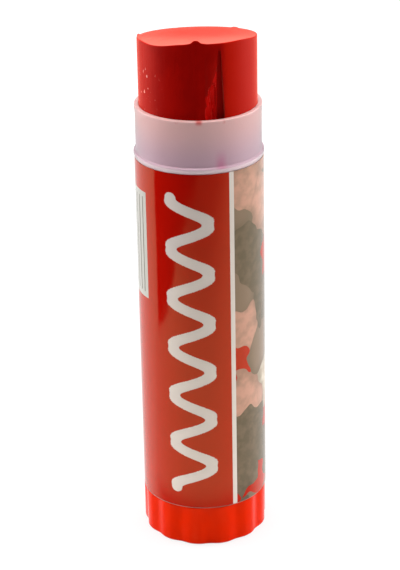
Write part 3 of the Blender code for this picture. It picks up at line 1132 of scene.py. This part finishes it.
@dataclass(frozen=True)
class TwistBase:
    """The scalloped knob: fluted skirt, recessed foot, hub for the spindle and a snap collar."""

    top: float = 11.58 * MM
    crest: float = 17.05 * MM
    flute: float = 16.43 * MM
    lobes: int = 13
    lobe_angle: float = radians(17.0)
    lobe_steps: int = 24
    foot_rounding: float = 0.75 * MM
    top_rounding: float = 0.25 * MM
    recess: float = 0.8 * MM
    recess_radius: float = 12.43 * MM
    recess_step: float = 1.2 * MM
    floor: float = 2.4 * MM
    collar: float = 15.5 * MM
    collar_top: float = 17.0 * MM
    hollow: float = 14.2 * MM
    snap: float = 15.95 * MM
    snap_low: float = 13.8 * MM
    snap_high: float = 15.4 * MM
    hub: float = 5.7 * MM
    hub_top: float = 5.8 * MM
    socket: float = 3.5 * MM
    edge: float = 0.15 * MM
    flute_sharpness: float = 1.5

    def profile(self) -> list[Point]:
        """The knob's wall, from the recess in its foot over the skirt and the collar to the hub's socket.

        Returns:
            Its (radius, height) points.
        """
        foot, top, edge = self.foot_rounding, self.top_rounding, self.edge
        slope = self.snap - self.collar
        return [
            (self.recess_radius - self.recess_step, self.recess),
            (self.recess_radius, self.recess),
            (self.recess_radius, edge),
            (self.recess_radius + edge, 0.0),
            *arc((self.crest - foot, foot), foot, -90.0, 0.0, steps=6),
            *arc((self.crest - top, self.top - top), top, 0.0, 90.0),
            (self.collar, self.top),
            (self.collar, self.snap_low),
            (self.snap, self.snap_low + slope),
            (self.snap, self.snap_high - slope),
            (self.collar, self.snap_high),
            (self.collar, self.collar_top - edge),
            (self.collar - edge, self.collar_top),
            (self.hollow, self.collar_top),
            (self.hollow, self.floor),
            (self.hub, self.floor),
            (self.hub, self.hub_top),
            (self.socket, self.hub_top),
            (self.socket, self.floor),
        ]

    def build(self) -> Object:
        """Models and dresses the knob.

        Returns:
            The knob.
        """
        knob = turned("scalloped_knob", self.profile(), self.lobes * self.lobe_steps, tube=False)
        self.scallop(knob)
        smooth(knob)
        knob.data.materials.append(KnobFinish().material())
        place_in_frame(knob, Body.BASE, "twist_base")
        return knob

    def scallop(self, knob: Object) -> None:
        """Draws the skirt in between its lobes, less and less towards the middle of the foot.

        Args:
            knob: the knob.
        """
        flutes = knob.vertex_groups.new(name="flutes")
        for vertex in knob.data.vertices:
            radius = hypot(vertex.co.x, vertex.co.y)
            if vertex.co.z < self.top + WELD and radius > self.collar:
                angle = atan2(vertex.co.x, -vertex.co.y) - self.lobe_angle
                share = (radius - self.collar) / (self.crest - self.collar)
                depth = ((1 - cos(self.lobes * angle)) / 2) ** self.flute_sharpness
                flutes.add([vertex.index], share * depth, "REPLACE")
        draw = knob.modifiers.new("Flutes", "CAST")
        draw.cast_type = "CYLINDER"
        draw.vertex_group = flutes.name
        draw.use_z = False
        draw.use_radius_as_size = False
        draw.size = WELD
        draw.factor = 1.0 - self.flute / self.crest
        only(knob)
        bpy.ops.object.modifier_apply(modifier=draw.name)
        knob.vertex_groups.clear()


@dataclass(frozen=True)
class Nub:
    """A bump on the worn top's edge or, with a height below 0, a slump of it."""

    angle: float
    height: float
    reach: float


@dataclass(frozen=True)
class WaxStick:
    """The cast wax: slanted worn top with nubs on its edge, grooves of the guide ribs and a torn edge."""

    radius: float = 15.45 * MM
    top: float = 140.77 * MM
    tilt_front: float = radians(7.95)
    tilt_side: float = radians(0.5)
    shoulder: float = 47.4 * MM
    key: float = 12.9 * MM
    key_low: float = 45.8 * MM
    plug: float = 13.5 * MM
    foot: float = 39.4 * MM
    bore: float = 4.8 * MM
    bore_top: float = 125.5 * MM
    edge: float = 0.22 * MM
    worn_depth: float = 1.0 * MM
    groove_angles: Point = (radians(21.0), radians(201.0))
    groove_foot: float = 37.5 * MM
    groove_tip: float = 140.85 * MM
    groove_clearance: float = 0.25 * MM
    tear_middle: Point = (117.0 * MM, 128.5 * MM)
    tear_run: float = 8.5 * MM
    tear_crumbs: float = 0.18 * MM
    tear_sides: Point = (-3.9 * MM, -0.7 * MM)
    tear_floor: Point = (-14.95 * MM, -14.3 * MM)
    tear_outer: float = -17.0 * MM
    tear_ends: Point = (0.1, 0.6)
    tear_cuts: int = 12
    tear_inner: float = -15.4 * MM
    crumb_inner: float = -15.2 * MM
    crumb_margin: float = 0.2 * MM
    crumb_seed: int = 4
    nubs: tuple[Nub, ...] = (
        Nub(radians(-1.2), 0.35 * MM, 2.8 * MM),
        Nub(radians(-1.2), 0.62 * MM, 1.15 * MM),
        Nub(radians(-99.0), 0.45 * MM, 1.0 * MM),
        Nub(radians(139.0), 0.22 * MM, 1.1 * MM),
        Nub(radians(-42.0), -0.65 * MM, 8.0 * MM),
        Nub(radians(48.0), 0.25 * MM, 7.0 * MM),
    )
    nub_catch: float = 0.5 * MM
    rings: tuple[float, ...] = (0.3 * MM, 0.4 * MM, 0.5 * MM, 0.7 * MM, 1.2 * MM, 2.5 * MM)
    crease: float = radians(40.0)
    segments: int = 288

    @property
    def slope(self) -> Vector:
        """Upward normal of the worn top."""
        return Vector((-cos(self.tilt_front) * sin(self.tilt_side), sin(self.tilt_front),
                       cos(self.tilt_front) * cos(self.tilt_side)))

    def top_at(self, x: float, y: float) -> float:
        """Height of the worn top at a place."""
        normal = self.slope
        return self.top - (normal.x * x + normal.y * y) / normal.z

    def profile(self) -> list[Point]:
        """The stick's wall, from the top of its bore down, round its foot and up outside.

        Returns:
            Its (radius, height) points.
        """
        over = self.top + 2 * self.radius * tan(self.tilt_front + self.tilt_side)
        return [
            (self.bore, self.bore_top),
            (self.bore, self.foot),
            (self.plug, self.foot),
            (self.plug, self.key_low),
            (self.key, self.key_low),
            (self.key, self.shoulder),
            (self.radius, self.shoulder),
            (self.radius, over),
        ]

    def build(self) -> Object:
        """Models and dresses the wax.

        Returns:
            The wax.
        """
        wax = turned("wax_stick", self.profile(), self.segments, tube=False)
        self.wear_top(wax)
        self.raise_nubs(wax)
        for number, angle in enumerate(self.groove_angles, 1):
            groove = GuideBar().build(f"groove_{number}", angle, self.groove_foot, self.groove_tip,
                                      self.groove_clearance)
            carve(wax, groove, Carve.CUT)
        carve(wax, self.tear(), Carve.CUT)
        with editing(wax):
            bpy.ops.mesh.dissolve_degenerate(threshold=SLIVER)
        fix_order(wax)
        smooth(wax, self.crease)
        self.dress(wax)
        place_in_frame(wax, Body.CRAYON, "wax_crayon")
        return wax

    def wear_top(self, wax: Object) -> None:
        """Cuts the top aslant, rounds its edge a little and rings its face for the nubs.

        Args:
            wax: the stick.
        """
        with editing(wax):
            bpy.ops.mesh.bisect(plane_co=(0.0, 0.0, self.top), plane_no=self.slope, use_fill=True,
                                clear_outer=True)
        fix_order(wax)
        with editing(wax):
            pick(wax, Pick.EDGES, lambda middle: abs(middle.z - self.top_at(middle.x, middle.y)) < WELD)
            bpy.ops.mesh.bevel(offset=self.edge, segments=3, affect="EDGES")
        fix_order(wax)
        with editing(wax):
            pick(wax, Pick.FACES, lambda middle: hypot(middle.x, middle.y) < self.radius / 4
                 and abs(middle.z - self.top_at(middle.x, middle.y)) < WELD)
            for width in self.rings:
                bpy.ops.mesh.inset(thickness=width)
        fix_order(wax)

    def raise_nubs(self, wax: Object) -> None:
        """Pulls the nubs up out of the worn top's edge, or lets it slump.

        Args:
            wax: the stick.
        """
        with editing(wax):
            for nub in self.nubs:
                x, y = self.radius * sin(nub.angle), -self.radius * cos(nub.angle)
                peak = Vector((x, y, self.top_at(x, y)))
                pick(wax, Pick.POINTS, lambda middle, peak=peak: (middle - peak).length < self.nub_catch)
                bpy.ops.transform.translate(
                    value=(0.0, 0.0, nub.height), use_proportional_edit=True,
                    proportional_edit_falloff="SMOOTH", proportional_size=nub.reach)

    def dress(self, wax: Object) -> None:
        """Gives the stick its cast finish and its worn top the worn one, with painted top light and glare.

        Args:
            wax: the stick.
        """
        for finish in (CastWaxFinish(), WornWaxFinish()):
            wax.data.materials.append(finish.material())
        with editing(wax):
            pick(wax, Pick.FACES, lambda middle: hypot(middle.x, middle.y) < self.radius - self.edge
                 and abs(middle.z - self.top_at(middle.x, middle.y)) < self.worn_depth)
            wax.active_material_index = 1
            bpy.ops.object.material_slot_assign()

    def tear(self) -> Object:
        """The torn left edge of the front groove: a crumbled chamfer that runs out at both ends.

        Returns:
            The wedge that cuts it.
        """
        left, right = self.tear_sides
        wall, floor = self.tear_floor
        low, high = self.tear_middle
        outer, run_out = self.tear_outer, self.tear_run
        wedge = block("tear", (left, outer, low), (right, floor, high))
        with editing(wedge):
            pick(wedge, Pick.POINTS, lambda middle: middle.x < left + WELD and middle.y > wall)
            bpy.ops.transform.translate(value=(0.0, wall - floor, 0.0))
            for end, run in ((high, run_out), (low, -run_out)):
                pick(wedge, Pick.FACES, lambda middle, end=end: abs(middle.z - end) < WELD)
                bpy.ops.mesh.extrude_region_move(TRANSFORM_OT_translate={"value": (0.0, 0.0, run)})
                bpy.ops.transform.resize(value=(*self.tear_ends, 1.0),
                                         center_override=(right, outer, end + run))
        fix_order(wedge)
        with editing(wedge):
            pick(wedge, Pick.FACES, lambda middle: middle.y > self.tear_inner
                 and low - run_out + WELD < middle.z < high + run_out - WELD)
            bpy.ops.mesh.subdivide(number_cuts=self.tear_cuts)
        fix_order(wedge)
        with editing(wedge):
            margin = self.crumb_margin
            pick(wedge, Pick.POINTS, lambda middle: middle.y > self.crumb_inner
                 and left + margin < middle.x < right - margin
                 and low - run_out / 2 < middle.z < high + run_out / 2)
            bpy.ops.transform.vertex_random(offset=self.tear_crumbs, normal=1.0, seed=self.crumb_seed)
        close_up(wedge)
        turn_about_stick(wedge, self.groove_angles[0])
        return wedge


@dataclass(frozen=True)
class Mechanism:
    """The lead screw and the carrier, which keep their solids, with how far wax stains each."""

    stains: tuple[tuple[str, float], ...] = (("lead_screw", 0.25), ("carrier", 0.5))

    def dress(self, nodes: dict[str, Object]) -> None:
        """Gives both solids their finish.

        Args:
            nodes: the frame's solids by name.
        """
        for node, stain in self.stains:
            solid = nodes[node]
            solid.data.materials.clear()
            solid.data.materials.append(NaturalFinish(f"{node}_plastic", stain=stain).material())
            log.info("dressed %s", node)


# Studio


@dataclass(frozen=True)
class Softbox:
    """A soft area lamp that faces the stick."""

    name: str
    place: Place
    size: Point
    power: float

    def build(self, aim: Vector) -> Object:
        """Hangs the lamp, turned towards a point.

        Args:
            aim: the point.

        Returns:
            The lamp.
        """
        lamp = bpy.data.lights.new(self.name, "AREA")
        lamp.shape = "RECTANGLE"
        lamp.size, lamp.size_y = self.size
        lamp.energy = self.power
        obj = bpy.data.objects.new(self.name, lamp)
        obj.location = self.place
        obj.rotation_euler = (aim - obj.location).to_track_quat("-Z", "Y").to_euler()
        bpy.context.scene.collection.objects.link(obj)
        return obj


@dataclass(frozen=True)
class Studio:
    """White floor, soft lamps, a dark card that the glossy front mirrors, and the camera."""

    floor_size: float = 12.0
    ambient: float = 0.12
    bounce: tuple[Colour, Colour] = ((0.92, 0.92, 0.92), (0.35, 0.35, 0.35))
    bounce_fall: Point = (60.0, 300.0)
    shadow: Colour = (0.2, 0.2, 0.2)
    shadow_reach: Point = (40.0, 420.0)
    foot_shade: Point = (30.0, 50.0)
    front_shade: Point = (-300.0, -80.0)
    front_levels: Point = (0.17, 0.88)
    back_rise: Point = (-25.0, 5.0)
    shadow_levels: Point = (0.76, 1.0)
    aim: Place = (0.0, 0.0, 0.075)
    lamps: tuple[Softbox, ...] = (
        Softbox("softbox_top", (0.0, 0.03, 0.46), (0.34, 0.34), 3.1),
        Softbox("softbox_left", (-0.62, 0.14, 0.24), (0.5, 0.6), 4.8),
        Softbox("softbox_right", (0.62, 0.10, 0.24), (0.5, 0.6), 4.6),
    )
    card_path: tuple[Point, ...] = (
        (-0.150, -0.018), (-0.150, -0.165), (-0.098, -0.255), (0.0, -0.310), (0.14, -0.330), (0.30, -0.260),
    )
    card_tone: Colour = (0.002, 0.002, 0.002)
    card_height: float = 0.26
    camera_place: Place = (0.0, -0.4880, 0.2852)
    camera_pitch: float = radians(23.696)
    camera_roll: float = radians(-1.073)
    image: tuple[int, int] = (400, 570)
    focal_pixels: float = 1975.5
    shift_pixels: float = -1.438
    sensor: float = 36.0

    def build(self) -> None:
        """Sets up the whole studio."""
        bpy.context.scene.view_settings.view_transform = "Standard"
        self.lay_floor()
        self.stand_card()
        for lamp in self.lamps:
            lamp.build(Vector(self.aim))
        self.light_world()
        self.set_camera()

    def lay_floor(self) -> Object:
        """A wide floor: white with a soft shadow where it shows, and falling off in what mirrors it.

        Returns:
            The floor.
        """
        floor = primitive("floor", bpy.ops.mesh.primitive_plane_add, size=self.floor_size)
        graph = Graph(bpy.data.materials.new("white_floor"))
        path = graph.add("LightPath", {}).node.outputs
        glossy = path["Is Glossy Ray"]
        shown = graph.maths("MAXIMUM", path["Is Camera Ray"], path["Is Transmission Ray"])
        x, y, _ = graph.split(graph.place())
        away = graph.length(x, y)
        bounce = graph.mix(graph.rise(away, *self.bounce_fall), *self.bounce)
        front = graph.times(graph.rise(away, *self.foot_shade),
                            graph.rise(y, *self.front_shade, *self.front_levels))
        mirrored = graph.maths("MAXIMUM", front, graph.rise(y, *self.back_rise))
        lit = graph.rise(away, *self.shadow_reach, *self.shadow_levels)
        graph.shade(
            base_color=graph.layer(bounce, (shown, self.shadow), (glossy, BLACK)),
            roughness=1.0,
            specular_ior_level=0.0,
            emission_color=WHITE,
            emission_strength=graph.maths("ADD", graph.times(shown, lit), graph.times(glossy, mirrored)),
        )
        floor.data.materials.append(graph.owner)
        return floor

    def stand_card(self) -> Object:
        """A dark card in front of the stick, which only glossy surfaces see.

        Returns:
            The card.
        """
        card = primitive("dark_card", bpy.ops.mesh.primitive_plane_add, size=self.card_height)
        half = self.card_height / 2
        x, y = self.card_path[0]
        with editing(card):
            pick(card, Pick.POINTS, lambda middle: middle.x > 0.0)
            bpy.ops.mesh.delete(type="VERT")
            bpy.ops.mesh.select_all(action="SELECT")
            bpy.ops.transform.rotate(value=pi / 2, orient_axis="X", center_override=(0.0, 0.0, 0.0))
            bpy.ops.transform.translate(value=(x + half, y, half))
            for here, there in zip(self.card_path, self.card_path[1:]):
                bpy.ops.mesh.extrude_edges_move(
                    TRANSFORM_OT_translate={"value": (there[0] - here[0], there[1] - here[1], 0.0)})
        graph = Graph(bpy.data.materials.new("dark_card"))
        graph.shade(base_color=self.card_tone, roughness=1.0, specular_ior_level=0.0)
        card.data.materials.append(graph.owner)
        card.visible_camera = card.visible_diffuse = card.visible_shadow = card.visible_transmission = False
        return card

    def light_world(self) -> None:
        """A dim even light all round, white where the camera, a mirror or glass shows it."""
        world = bpy.data.worlds.new("studio")
        bpy.context.scene.world = world
        graph = Graph(world, "Background")
        path = graph.add("LightPath", {}).node.outputs
        seen = path["Is Camera Ray"]
        for name in ("Is Glossy Ray", "Is Transmission Ray"):
            seen = graph.maths("MAXIMUM", seen, path[name])
        level = graph.add("MapRange", {"Value": seen, "To Min": self.ambient}, "Result")
        graph.shade(color=WHITE, strength=level)

    def set_camera(self) -> None:
        """Puts the camera at the photograph's viewing angle."""
        camera = bpy.data.cameras.new("camera")
        camera.sensor_width = self.sensor
        camera.lens = self.focal_pixels / max(self.image) * self.sensor
        camera.shift_x = self.shift_pixels / max(self.image)
        camera.clip_start = 0.01
        obj = bpy.data.objects.new("camera", camera)
        bpy.context.scene.collection.objects.link(obj)
        level = Matrix.Rotation(pi / 2 - self.camera_pitch, 4, "X")
        roll = Matrix.Rotation(self.camera_roll, 4, "Z")
        obj.matrix_world = Matrix.Translation(self.camera_place) @ level @ roll
        bpy.context.scene.camera = obj


def main() -> None:
    """Loads the frame, builds each sub-assembly on it and sets up the studio."""
    logging.basicConfig(level=logging.INFO, format="%(name)s: %(message)s")
    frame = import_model()
    for part in (Barrel(), Label(), TwistBase(), WaxStick()):
        piece = part.build()
        log.info("%s: %d faces", piece.name, len(piece.data.polygons))
    Mechanism().dress(frame["nodes"])
    Studio().build()


if __name__ == "__main__":
    main()
